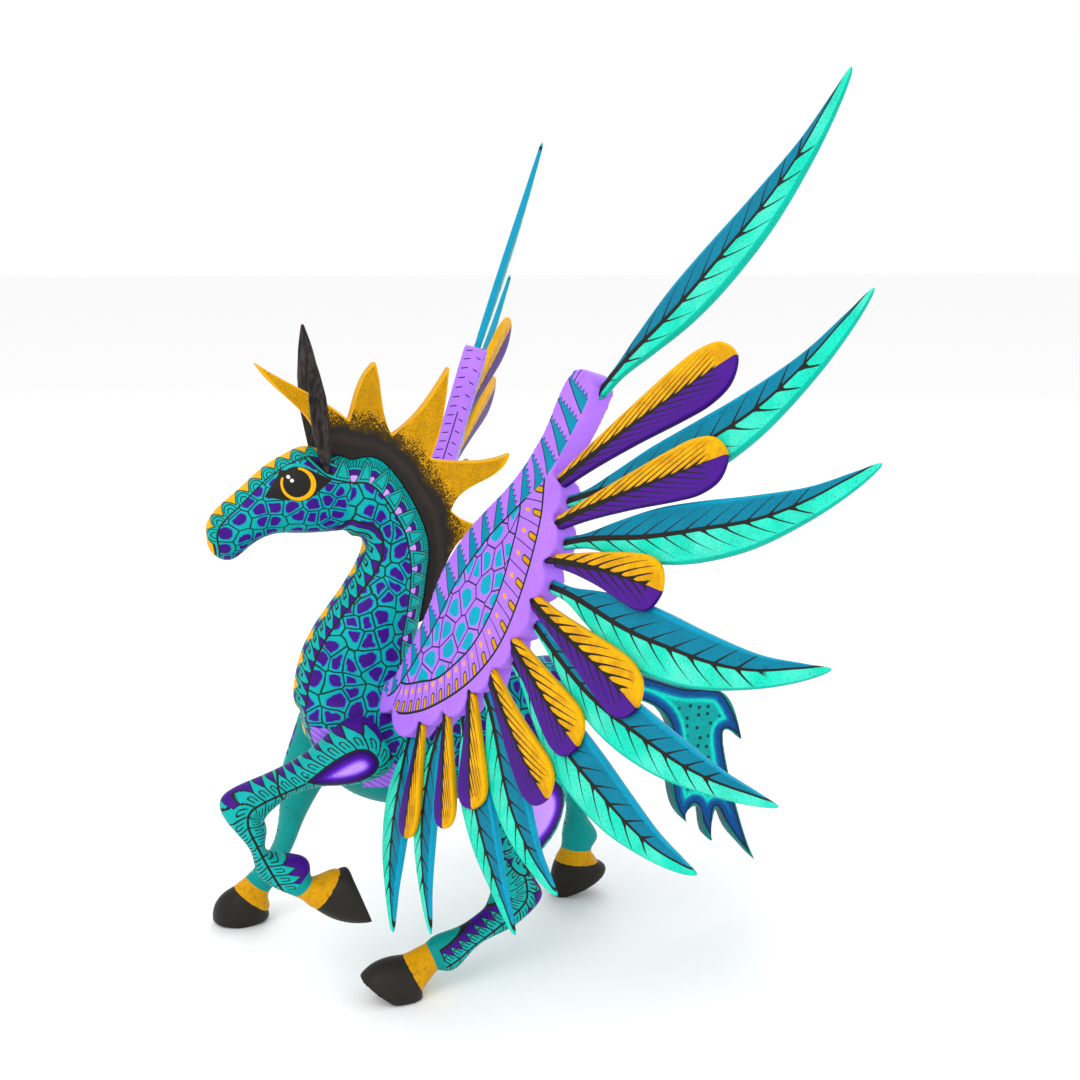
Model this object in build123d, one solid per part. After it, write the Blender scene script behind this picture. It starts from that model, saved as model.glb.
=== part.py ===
from build123d import *
import os
from math import cos, hypot, pi, sin

# A winged horse in carved and painted wood. It stands on three hooves, with the left foreleg raised.
# +X is the figure's left, -Y the way its nose points, +Z up, and the ground is Z = 0. Lengths are in mm.
# Points are written (side, back, up): back is measured from a datum ahead of the nose.

# ---- frame
MID_BACK = 166.5  # the datum's distance ahead of the middle of the figure

# ---- joints between the pieces
GLUE_GAP = 0.05  # glue line round every glued piece
LIFT_GAP = 0.25  # air round the pieces that lift off: wings, ears and tail
DOWEL_DIAMETER = 5.0
TENON_DIAMETER = 7.0
TENON_LENGTH = 12.0
EAR_PEG_DIAMETER = 3.0
EAR_PEG_LENGTH = 7.0
TAIL_PEG_DIAMETER = 5.0
TAIL_PEG_LENGTH = 11.0
QUILL_DIAMETER = 2.8
QUILL_LENGTH = 6.0

# ---- wings
WING_THICKNESS = 10.5
WING_ROOT = (24.3, 113.5, 120.9)  # foot of the leading edge, on the front face
WING_OUT = Vector(0.884, 0.188, -0.429)  # across the wing, from the leading edge to the feathers
WING_FRONT = Vector(0.322, -0.909, 0.266)  # out of the front face
FEATHER_THICKNESS = 3.0
SHORT_DEPTH = 2.5  # middle of the short feathers, behind the nearer face
LONG_DEPTH = 5.7  # middle of the long feathers, behind the same face
RIGHT_SHORT_TILTS = (0.2, 0.12, 0.08)  # backward lean of the right wing's top short feathers, per mm outward
FEATHER_ROOTS = 36.0  # how far out the feathers' roots lie, on average

# ---- mane
MANE_THICKNESS = 6.0
TONGUE_THICKNESS = 3.0
TONGUE_DEPTH = 3.0

# ---- tail
TAIL_THICKNESS = 9.0


def at(side, back, up):
    return Vector(side, back - MID_BACK, up)


def largest(part):
    """The main solid of a cut part, without its slivers."""
    return max(part.solids(), key=lambda solid: solid.volume)


def midplane():
    """Sketch plane in the figure's plane of symmetry: first axis back, second axis up."""
    return Plane(origin=at(0, 0, 0), x_dir=(0, 1, 0), z_dir=(1, 0, 0))


def ring(first, last, half_width, grow=0.0, side=0.0, lean=0.0):
    """Oval across a limb, from the point first to the point last, both (back, up).

    The limb's middle lies at side + lean * up, and grow fattens the oval.
    """
    a = at(side + lean * first[1], *first)
    b = at(side + lean * last[1], *last)
    along = (b - a).normalized()
    plane = Plane(origin=(a + b) * 0.5, x_dir=along, z_dir=along.cross(Vector(1, 0, 0)))
    return plane * Ellipse((b - a).length / 2 + grow, half_width + grow)


def form(rings, grow=0.0, side=0.0, lean=0.0):
    """Skin over rings given as (first point, last point, half width)."""
    return loft([ring(p, q, w, grow, side, lean).face() for p, q, w in rings])


# ---- body: barrel, neck and head in one piece
BARREL = [  # belly point, back point, half width, from the chest to the rump
    ((82.5, 104), (82, 116), 6),
    ((88, 92), (84, 127), 14.5),
    ((97, 80), (96, 131), 20),
    ((118, 70), (118, 131), 22),
    ((145, 69), (145, 127), 22),
    ((170, 74), (170, 127), 23),
    ((188, 83), (190, 128), 21),
    ((201, 95), (204, 124), 14),
    ((208, 105), (210, 116), 5),
]
NECK = [  # front point, crest point, half width, from the shoulders to the poll
    ((82, 106), (140, 118), 18),
    ((79.5, 116), (136, 131), 17.6),
    ((79.5, 127), (131.5, 145), 17),
    ((87, 147), (134, 160), 16),
    ((100.5, 165.5), (136, 173), 13.5),
    ((108, 179), (136, 183), 12),
    ((107.5, 185.5), (129, 201), 12),
    ((103, 187.5), (115, 218), 12.5),
    ((98, 190), (100, 218), 10),
]
HEAD = [  # jaw point, brow point, half width, from the cheek to the muzzle
    ((105, 188.5), (104, 217), 9.5),
    ((100, 188.3), (98, 219.8), 11),
    ((94, 188.1), (92, 222), 12.5),
    ((88, 188), (86, 223.5), 13.5),
    ((81, 188.3), (79, 221), 13),
    ((74, 188.5), (71.5, 217), 12),
    ((62, 183), (60, 207.5), 9.5),
    ((54, 178.5), (52, 201), 8.5),
    ((48.5, 181.5), (48, 196.5), 7),
    ((46.5, 186), (46.3, 193), 4),
]


def body_form(grow=0.0):
    return form(BARREL, grow) + form(NECK, grow) + form(HEAD, grow)


# ---- legs: front point, rear point, half width, from the top down to the coronet; then the hoof below it
RAISED_FORELEG = [
    ((109, 111), (115, 98), 7),
    ((103, 116), (106, 90), 10.5),
    ((93, 113), (94, 89), 11),
    ((82, 105), (85, 89.5), 9.5),
    ((69, 98.5), (75, 88), 8),
    ((57, 94.5), (67, 83.5), 7.5),
    ((45.5, 88.5), (62, 78), 7.5),
    ((48.5, 78), (62.5, 72.5), 7),
    ((57, 62.5), (69, 64), 6.5),
    ((62.5, 53), (79, 59.5), 6.5),
    ((72, 47.5), (79.5, 54), 6),
    ((76, 44.7), (84.7, 54.7), 6.7),
    ((80, 41.5), (90, 55), 7.5),
]
RAISED_FORE_HOOF = [((90.5, 35), (93.5, 56.3), 9.3), ((103, 33.3), (95.5, 53), 8.5)]
LEFT_HINDLEG = [
    ((166, 106), (178, 105), 4),
    ((154, 98), (190, 97), 10),
    ((152, 84), (190.5, 82), 12),
    ((153, 70), (186, 68), 11),
    ((155, 57), (178, 56), 9),
    ((155.5, 46), (171.5, 48), 7.5),
    ((152, 34.5), (175.5, 35.5), 7),
    ((149.5, 31), (169, 28), 6.5),
    ((144, 27.8), (156, 21.5), 6),
    ((136, 25), (143.5, 15), 6),
    ((129, 23.5), (136.5, 9.2), 6.5),
    ((125, 20.8), (129, 10), 6),
    ((115, 17.3), (122, 2.5), 8),
]
LEFT_HIND_HOOF = [((105, 16.3), (121.5, -1.5), 9.5), ((96.8, 11), (113, -2.5), 8.5)]
RIGHT_FORELEG = [
    ((89, 111), (99, 111), 6),
    ((83, 103), (108, 104), 9),
    ((79.5, 90), (108, 90), 10.5),
    ((76.5, 77), (99, 76), 9),
    ((76, 64), (91, 62), 7.5),
    ((75.5, 51.5), (85.5, 49), 6.5),
    ((73.5, 40.3), (82, 38.3), 6),
    ((69.5, 32.3), (78.5, 29.5), 6),
    ((64.5, 26), (75, 20), 6.5),
    ((61.5, 22.8), (71.5, 15.3), 6),
    ((59, 20.4), (71.1, 10.6), 7.2),
    ((56.5, 17.6), (70.5, 5.8), 8.5),
]
RIGHT_FORE_HOOF = [((48.5, 11.5), (71.5, 2), 10), ((46.5, 1), (69, -1.5), 9.5)]
RIGHT_HINDLEG = [
    ((172, 110), (187, 110), 5),
    ((160, 99), (199, 101), 10),
    ((161, 85), (206, 89), 12),
    ((173, 73), (209, 79), 10.5),
    ((188, 66), (213, 72.5), 8.5),
    ((201, 57.3), (221, 60.8), 7),
    ((207.5, 49.3), (218.5, 50.3), 6),
    ((208, 39.8), (218.5, 40.2), 6),
    ((207, 30.3), (224, 28), 6.5),
    ((207, 25), (221.5, 22.8), 6),
    ((205.8, 21.7), (222.8, 19.4), 7.2),
    ((204.5, 18.3), (224, 16), 8.5),
]
RIGHT_HIND_HOOF = [((202.5, 9), (229, 13), 9.5), ((204, -1.5), (229, 9), 9)]
# middle of each leg's plane on the ground, and how far it leans sideways for each mm of height
RAISED_FORE_SET = (41.2, -0.16)
LEFT_HIND_SET = (40.0, -0.168)
RIGHT_FORE_SET = (-55.0, 0.32)
RIGHT_HIND_SET = (-40.0, 0.164)
# where each leg's dowel crosses from the body: (back, up)
DOWELS = {"left": [(100, 103), (170, 88)], "right": [(96, 98), (184, 94)]}
DOWEL_FROM, DOWEL_TO = 9.0, 30.0  # reach of a dowel, out from the plane of symmetry


def dowels(diameter, spare=0.0):
    """The four dowels, the left ones first."""
    length = DOWEL_TO - DOWEL_FROM + 2 * spare
    rods = []
    for sign, name in ((1, "left"), (-1, "right")):
        for back, up in DOWELS[name]:
            middle = at(sign * (DOWEL_FROM + DOWEL_TO) / 2, back, up)
            rods.append(Plane(origin=middle, z_dir=(1, 0, 0)) * Cylinder(diameter / 2, length))
    return rods


def leg(rings, hoof_rings, leg_set, name, glued_body):
    """Leg and hoof, hollowed to sit on the body's side. The hoof is flat where it meets the ground."""
    side, lean = leg_set
    limb = form(rings, side=side, lean=lean)
    hoof = form([rings[-1], *hoof_rings], side=side, lean=lean)
    pastern = form(rings[-2:], side=side, lean=lean)  # a plain taper, so that the leg isn't pinched there
    limb = largest(limb + hoof + pastern - glued_body)
    for hole in dowels(DOWEL_DIAMETER + 2 * GLUE_GAP, spare=0.2):
        limb = limb - hole
    above_ground = Pos(0, 0, 200) * Box(600, 600, 400)
    save(largest(limb & above_ground), name)


# ---- ears: root and tip of each, and (share of the length, half breadth, half thickness) along them
LEFT_EAR = ((10.0, 93.0, 218.0), (27.5, 86.0, 262.0))
RIGHT_EAR = ((-10.0, 93.0, 218.0), (-22.0, 90.0, 271.0))
LEFT_BREADTH, RIGHT_BREADTH = 0.87, 1.18  # of each ear, times the half breadths below
EAR_RINGS = [(0, 2.5, 2.4), (0.12, 3.2, 2.6), (0.35, 4.3, 2.4), (0.6, 4, 2), (0.82, 2.5, 1.4), (1, 0.5, 0.4)]


def ear_axis(root, tip):
    return (at(*tip) - at(*root)).normalized()


def ear_peg(root, tip, diameter, length):
    """Peg down from the foot of an ear, long enough upward to join the ear."""
    overlap = 6.0
    axis = ear_axis(root, tip)
    foot = at(*root) + axis * (overlap - length) * 0.5
    return Plane(origin=foot, z_dir=axis) * Cylinder(diameter / 2, length + overlap)


def ear(root, tip, breadth, clear_body):
    axis = ear_axis(root, tip)
    length = (at(*tip) - at(*root)).length
    faces = []
    for share, half_breadth, half_thick in EAR_RINGS:
        plane = Plane(origin=at(*root) + axis * (share * length), x_dir=(0, 1, 0), z_dir=axis)
        faces.append((plane * Ellipse(half_breadth * breadth, half_thick)).face())
    blade = largest(loft(faces) - clear_body)
    return blade + ear_peg(root, tip, EAR_PEG_DIAMETER, EAR_PEG_LENGTH)


# ---- mane: the edges of its five points, and the line inside the neck, all (back, up)
MANE_EDGES = [  # from the forelock to the withers
    [(92, 221.5), (88.5, 233), (77, 245.5), (67, 257.5)],
    [(67, 257.5), (78, 250.5), (92, 242.5), (104, 233.5)],
    [(104, 233.5), (106.5, 242), (110, 250.5), (115.3, 256.7)],
    [(115.3, 256.7), (117, 248), (118.5, 236), (121.5, 227)],
    [(121.5, 227), (133, 236.5), (140, 245.5), (146, 254.5)],
    [(146, 254.5), (144.5, 242), (142, 229), (137.5, 216.5)],
    [(137.5, 216.5), (148, 215), (160, 214.8), (171.5, 217.3)],
    [(171.5, 217.3), (164, 208.5), (152, 202.5), (146, 194.5)],
    [(146, 194.5), (151, 190.5), (160, 187)],
    [(160, 187), (149, 181), (143, 171), (136, 150)],
]
MANE_INSIDE = [(128, 146), (132, 160), (133.5, 180), (127, 199), (113, 214), (98, 217)]


def mane_plate(thickness):
    lines = [Spline(*edge) for edge in MANE_EDGES]
    inner = Polyline(MANE_EDGES[-1][-1], *MANE_INSIDE, MANE_EDGES[0][0])
    return extrude(midplane() * make_face([*lines, inner]), thickness / 2, both=True)


def mane_tongue(glued_body, spare=0.0):
    """The part of the mane that drops into the groove along the crest."""
    sunk = mane_plate(TONGUE_THICKNESS + 2 * spare) & glued_body
    return sunk - body_form(-TONGUE_DEPTH - spare)


# ---- tail: outline with four locks, (back, up), the root first along the top
TAIL_TOP = [
    (205, 119), (216, 121), (231, 117.5), (250, 110.5), (262, 109), (270, 106), (277, 94), (280, 82.5),
]
TAIL_LOCKS = [
    [(280, 82.5), (275, 87), (271, 88.5), (270.5, 84), (272, 75), (275, 62), (279, 48), (284, 33), (288, 24)],
    [(288, 24), (280, 33), (273, 43), (268, 52), (266.5, 48), (267, 36)],
    [(267, 36), (262, 43), (258, 54), (255, 53), (254, 46)],
    [
        (254, 46), (249, 52), (246, 62), (245, 74), (246, 86), (243, 96), (236, 103), (226, 107), (214, 108),
        (205, 107),
    ],
]
TAIL_ROOT = (206.0, 114.0)
TAIL_LIFT = Vector(0, 0.94, 0.342)  # the way the tail draws out


def tail_peg(diameter, length):
    overlap = 8.0
    foot = at(0, *TAIL_ROOT) + TAIL_LIFT * (overlap - length) * 0.5
    return Plane(origin=foot, z_dir=TAIL_LIFT) * Cylinder(diameter / 2, length + overlap)


def tail(clear_body):
    lines = [Spline(*TAIL_TOP)] + [Spline(*lock) for lock in TAIL_LOCKS]
    lines.append(Line(TAIL_LOCKS[-1][-1], TAIL_TOP[0]))
    board = extrude(midplane() * make_face(lines), TAIL_THICKNESS / 2, both=True)
    return largest(board - clear_body) + tail_peg(TAIL_PEG_DIAMETER, TAIL_PEG_LENGTH)


# ---- wing plate outline, in the plane of its front face: (out, along)
LEADING_EDGE = [
    (2, 159), (1, 150), (3.5, 136), (3.5, 122), (1, 108), (-5, 91), (-9.5, 72), (-10, 58), (-6.5, 40),
    (-5.5, 25), (-5, 12), (-10, -2), (-11, -8.5),
]
WING_FOOT = [(-11, -8.5), (-7, -9), (-2, -7), (3.5, 0.5)]
SCALLOPS = [  # notch, crown of the lobe, notch ... from the bottom lobe up to the arm
    (3.5, 0.5), (12, -4.5), (21, 9), (30, 15.5), (30, 21.5), (40, 30.5), (36.5, 38), (45, 46.5), (42, 53),
    (48, 61), (43.5, 67.5), (48, 76.5), (41.5, 84), (45, 91), (37, 98), (40, 107), (30, 112.5), (30.5, 119.5),
    (19, 124),
]
ARM_BACK = [(19, 124), (18.5, 140), (17.5, 153), (16, 160)]
ARM_TOP = [(16, 160), (8, 162.5), (2, 159)]

# ---- feathers: four points along the middle from root to tip (out, along), and the greatest breadth
LONG_FEATHERS = [
    ((15.5, 158.5), (24, 194), (51.5, 243.5), (44, 296), 18.5),
    ((29.5, 120), (54, 143.5), (96, 186.5), (101, 246), 20),
    ((38.5, 107.5), (69.5, 135), (117, 160), (139.7, 207.5), 20.5),
    ((44.5, 92.5), (78, 106), (125, 110), (165.5, 151.5), 22),
    ((47.5, 77), (88, 75), (134, 84), (177.5, 108.5), 18.5),
    ((47.5, 60), (80, 56.5), (130, 52.8), (167, 70.5), 20.5),
    ((43, 40.5), (62, 36), (85, 14), (124, 18), 19.5),
    ((38.5, 25), (54, 15), (78, 1), (117.5, -8), 17.5),
    ((30, 12.5), (35, -5), (50.5, -28), (82, -45), 14),
    ((16.5, -3), (24, -19), (36.5, -43), (63.8, -63), 16.5),
]
RIGHT_LAST_FEATHER = ((16.5, -3), (22, -15), (32, -31), (49, -47), 14)  # shorter than its fellow
SHORT_FEATHERS = [
    ((23.6, 124), (36, 150), (52, 176.5), (68.5, 203.5), 21),
    ((34, 113), (51, 136), (70, 156), (88, 177), 19.5),
    ((43, 102.5), (60, 113), (77, 121), (94.5, 127), 19),
    ((43, 84.5), (65, 86), (90, 92), (112.5, 92), 20),
    ((41.5, 66), (60, 66.5), (80, 63), (99, 63.5), 19.5),
    ((40, 50.5), (60, 45.5), (80, 41), (99.5, 40), 18.5),
    ((38.5, 36.5), (50, 28), (60, 17), (70.5, 8), 17),
    ((32, 21), (43, 11), (53, 1), (62.5, -9.5), 13),
    ((22, 8), (31, -5), (39, -17), (46.5, -29.5), 12.5),
]
# breadth along a feather, as (share of its length, share of its greatest breadth)
LONG_SHAPE = [
    (0.0, 0.22), (0.1, 0.28), (0.22, 0.6), (0.36, 0.93), (0.5, 1.0), (0.66, 0.84), (0.82, 0.5), (0.94, 0.24),
]
SHORT_SHAPE = [(0.0, 0.26), (0.2, 0.42), (0.45, 0.66), (0.7, 0.93), (0.84, 1.0), (0.95, 0.74)]


def wing_plane(depth, tilt=0.0):
    """Plane of a wing at a depth behind its front face: first axis out, second axis along the arm.

    A tilt turns it backward about the line of the feathers' roots, by so much for each mm outward.
    """
    out = WING_OUT - WING_FRONT * tilt
    front = WING_FRONT + WING_OUT * tilt
    origin = at(*WING_ROOT) - WING_FRONT * (depth - tilt * FEATHER_ROOTS)
    return Plane(origin=origin, x_dir=out, z_dir=front)


def wing_plate(clear_body):
    lines = [Spline(*LEADING_EDGE), Spline(*WING_FOOT)]
    for i in range(0, len(SCALLOPS) - 2, 2):
        lines.append(ThreePointArc(*SCALLOPS[i:i + 3]))
    lines += [Spline(*ARM_BACK), Spline(*ARM_TOP)]
    plate = extrude(wing_plane(WING_THICKNESS) * make_face(lines), WING_THICKNESS, dir=WING_FRONT)
    return largest(plate - clear_body)


def wing_lift():
    """The way a wing draws out of the shoulder: in its own plane, outward and upward."""
    along = WING_FRONT.cross(WING_OUT)
    return (WING_OUT + along).normalized()


def wing_tenon(diameter, length):
    overlap = 9.0
    foot = wing_plane(WING_THICKNESS / 2).from_local_coords(Vector(-6.5, -1.0, 0))
    middle = foot + wing_lift() * (overlap - length) * 0.5
    return Plane(origin=middle, z_dir=wing_lift()) * Cylinder(diameter / 2, length + overlap)


def along_feather(points, share):
    """Point and unit direction a share of the way along a feather's middle line."""
    p0, p1, p2, p3 = [Vector(*p) for p in points]
    t, s = share, 1 - share
    point = p0 * s**3 + p1 * 3 * s * s * t + p2 * 3 * s * t * t + p3 * t**3
    way = (p1 - p0) * s * s + (p2 - p1) * 2 * s * t + (p3 - p2) * t * t
    return point, way.normalized()


def feather_board(points, breadth, shape, depth, tilt):
    """Flat carved feather, from its root at the wing's edge to its tip."""
    left, right = [], []
    for share, part in shape:
        point, way = along_feather(points, share)
        across = Vector(-way.Y, way.X) * (breadth * part / 2)
        left.append(point + across)
        right.append(point - across)
    tip = along_feather(points, 1.0)[0]
    edge = [Spline(*left, tip), Spline(*right, tip)] if shape is LONG_SHAPE else [
        Spline(*left, tip, *reversed(right))]
    face = make_face(edge + [Line(left[0], right[0])])
    middle = wing_plane(depth, tilt)
    return extrude(middle * face, FEATHER_THICKNESS / 2, both=True)


def quill(points, depth, tilt, diameter, length):
    """Round quill from a feather's root into the wing."""
    overlap = 5.0
    root, way = along_feather(points, 0.0)
    plane = wing_plane(depth, tilt)
    way_3d = plane.from_local_coords(root + way) - plane.from_local_coords(root)
    middle = plane.from_local_coords(root) + way_3d * (overlap - length) * 0.5
    return Plane(origin=middle, z_dir=way_3d) * Cylinder(diameter / 2, length + overlap)


# ---- building and saving
def save(part, name, mirrored=False):
    part = mirror(part, about=Plane.YZ) if mirrored else part
    part.label = name
    export_step(part, f"parts/{name}.step")
    print(name, round(part.volume), part.is_valid)
    return part


def build_wing(side_name, mirrored, long_feathers, long_depth, short_depth, short_tilts, clear_body):
    """A wing plate with its nineteen feathers; the tilts are those of the top short feathers."""
    plate = wing_plate(clear_body)
    drilled = plate + wing_tenon(TENON_DIAMETER, TENON_LENGTH)
    for kind, feathers, shape, depth, tilts in (
        ("long", long_feathers, LONG_SHAPE, long_depth, ()),
        ("short", SHORT_FEATHERS, SHORT_SHAPE, short_depth, short_tilts),
    ):
        for number, (*points, breadth) in enumerate(feathers, start=1):
            tilt = tilts[number - 1] if number <= len(tilts) else 0.0
            board = largest(feather_board(points, breadth, shape, depth, tilt) - plate)
            peg = quill(points, depth, tilt, QUILL_DIAMETER, QUILL_LENGTH)
            save(board + peg, f"{kind}_feather_{side_name}_{number:02d}", mirrored)
            drilled = drilled - quill(points, depth, tilt, QUILL_DIAMETER + 2 * GLUE_GAP, QUILL_LENGTH + 0.2)
    save(largest(drilled), f"wing_{side_name}", mirrored)


def build_body(groove):
    solid = body_form() - groove
    holes = dowels(DOWEL_DIAMETER + 2 * GLUE_GAP, spare=0.2)
    tenon_hole = wing_tenon(TENON_DIAMETER + 2 * LIFT_GAP, TENON_LENGTH + 1)
    holes += [tenon_hole, mirror(tenon_hole, about=Plane.YZ)]
    for root, tip in (LEFT_EAR, RIGHT_EAR):
        holes.append(ear_peg(root, tip, EAR_PEG_DIAMETER + 2 * LIFT_GAP, EAR_PEG_LENGTH + 1))
    holes.append(tail_peg(TAIL_PEG_DIAMETER + 2 * LIFT_GAP, TAIL_PEG_LENGTH + 1))
    for hole in holes:
        solid = solid - hole
    save(largest(solid), "body")


os.makedirs("parts", exist_ok=True)
glued_body = body_form(GLUE_GAP)
clear_body = body_form(LIFT_GAP)

build_body(mane_tongue(glued_body, spare=GLUE_GAP))
leg(RAISED_FORELEG, RAISED_FORE_HOOF, RAISED_FORE_SET, "foreleg_left", glued_body)
leg(LEFT_HINDLEG, LEFT_HIND_HOOF, LEFT_HIND_SET, "hindleg_left", glued_body)
leg(RIGHT_FORELEG, RIGHT_FORE_HOOF, RIGHT_FORE_SET, "foreleg_right", glued_body)
leg(RIGHT_HINDLEG, RIGHT_HIND_HOOF, RIGHT_HIND_SET, "hindleg_right", glued_body)
save(Compound(children=dowels(DOWEL_DIAMETER)), "leg_dowels")
save(largest(mane_plate(MANE_THICKNESS) - glued_body) + mane_tongue(glued_body), "mane_crest")
save(ear(*LEFT_EAR, LEFT_BREADTH, clear_body), "ear_left")
save(ear(*RIGHT_EAR, RIGHT_BREADTH, clear_body), "ear_right")
save(tail(clear_body), "tail")
# the short feathers of the left wing lie toward its front face, those of the right wing toward its back
build_wing("left", False, LONG_FEATHERS, LONG_DEPTH, SHORT_DEPTH, (), clear_body)
right_feathers = [*LONG_FEATHERS[:-1], RIGHT_LAST_FEATHER]
right_depths = (WING_THICKNESS - LONG_DEPTH, WING_THICKNESS - SHORT_DEPTH)
build_wing("right", True, right_feathers, *right_depths, RIGHT_SHORT_TILTS, clear_body)
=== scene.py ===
import math

import bpy
import numpy as np
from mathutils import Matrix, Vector


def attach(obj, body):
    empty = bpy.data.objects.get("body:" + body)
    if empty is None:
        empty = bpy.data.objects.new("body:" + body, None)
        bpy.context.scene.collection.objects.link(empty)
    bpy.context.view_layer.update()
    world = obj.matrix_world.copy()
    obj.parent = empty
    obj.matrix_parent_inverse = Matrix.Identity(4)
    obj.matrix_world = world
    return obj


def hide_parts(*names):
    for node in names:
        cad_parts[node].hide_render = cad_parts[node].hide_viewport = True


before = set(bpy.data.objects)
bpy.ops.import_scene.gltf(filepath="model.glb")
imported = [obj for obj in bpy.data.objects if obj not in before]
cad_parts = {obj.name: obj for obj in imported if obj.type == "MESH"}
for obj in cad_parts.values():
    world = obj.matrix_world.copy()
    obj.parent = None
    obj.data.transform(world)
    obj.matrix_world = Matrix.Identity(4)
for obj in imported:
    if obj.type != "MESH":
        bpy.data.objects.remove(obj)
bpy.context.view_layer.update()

# A winged horse in carved and painted wood, with painted patterns made from coordinates over each piece.
# Tables are in mm as (back, up) in the figure's mid-plane, or (out, along) in a wing's plane.
MM = 0.001
MID_BACK = 166.5  # the tables' back is measured from this far ahead of the figure's middle


def rgb(red, green, blue):
    """Scene colour of a paint given by its 0-255 screen values."""
    shares = [value / 255 for value in (red, green, blue)]
    linear = [s / 12.92 if s <= 0.04045 else ((s + 0.055) / 1.055) ** 2.4 for s in shares]
    return (*linear, 1.0)


TEAL = rgb(14, 167, 163)
DEEP_TEAL = rgb(3, 140, 135)
PURPLE = rgb(68, 37, 124)
DARK_PURPLE = rgb(50, 26, 100)
VIOLET = rgb(92, 55, 180)
MID_VIOLET = rgb(122, 84, 205)
LILAC = rgb(178, 130, 244)
PALE_LILAC = rgb(205, 160, 250)
GOLD = rgb(206, 147, 10)
MUSTARD = rgb(188, 136, 8)
BRIGHT_GOLD = rgb(232, 170, 18)
LINE = rgb(34, 32, 30)
GREEN_LINE = rgb(12, 62, 60)
CHARCOAL = rgb(40, 37, 34)
MINT = rgb(66, 210, 182)
WALL_MINT_AND_SHADE = rgb(38, 176, 156)
FEATHER_BLUE = rgb(0, 122, 150)
STEP_TEAL = rgb(0, 132, 165)
LAGOON = rgb(8, 160, 184)
DEEP_BLUE = rgb(3, 74, 140)
WHITE = rgb(245, 245, 245)
BARE_WOOD = rgb(205, 160, 105)


# ---- paint: numbers and colours over a surface
class Num:
    """A number that varies over a surface: the output of a shader node, open to arithmetic."""

    def __init__(self, tree, socket):
        self.tree = tree
        self.socket = socket

    def __add__(self, other):
        return calc("ADD", self, other)

    def __sub__(self, other):
        return calc("SUBTRACT", self, other)

    def __rsub__(self, other):
        return calc("SUBTRACT", other, self)

    def __mul__(self, other):
        return calc("MULTIPLY", self, other)

    def __truediv__(self, other):
        return calc("DIVIDE", self, other)

    def __abs__(self):
        return calc("ABSOLUTE", self)

    def __invert__(self):
        """The rest of a mask."""
        return calc("SUBTRACT", 1.0, self)

    def __and__(self, other):
        return calc("MULTIPLY", self, other)

    def __or__(self, other):
        return calc("MAXIMUM", self, other)

    __radd__ = __add__
    __rmul__ = __mul__


def feed(tree, place, value):
    """Gives a node's input a constant, or a number or colour that varies."""
    source = value.socket if isinstance(value, Num) else value
    if isinstance(source, bpy.types.NodeSocket):
        tree.links.new(source, place)
    else:
        place.default_value = source


def calc(operation, *values, clamp=False):
    tree = next(value.tree for value in values if isinstance(value, Num))
    node = tree.nodes.new("ShaderNodeMath")
    node.operation = operation
    node.use_clamp = clamp
    for place, value in zip(node.inputs, values):
        feed(tree, place, value)
    return Num(tree, node.outputs[0])


def under(value, limit, soft=0.12):
    """1 where a number is below a limit, turning to 0 over a short distance."""
    if isinstance(limit, Num):
        return calc("MULTIPLY_ADD", limit - value, 1 / soft, 0.5, clamp=True)
    return calc("MULTIPLY_ADD", value, -1 / soft, limit / soft + 0.5, clamp=True)


def over(value, limit, soft=0.12):
    return calc("MULTIPLY_ADD", value - limit, 1 / soft, 0.5, clamp=True)


def between(value, low, high, soft=0.12):
    return over(value, low, soft) & under(value, high, soft)


def stroke(value, width, soft=0.12):
    """A line of that width along where a number is 0."""
    return under(abs(value), width / 2 if not isinstance(width, Num) else width * 0.5, soft)


def repeat(value, period):
    """Distance from the middle of the repeat that a point falls in."""
    return (calc("FRACT", value / period) - 0.5) * period


def hypot(x, y):
    return calc("SQRT", x * x + y * y)


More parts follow.
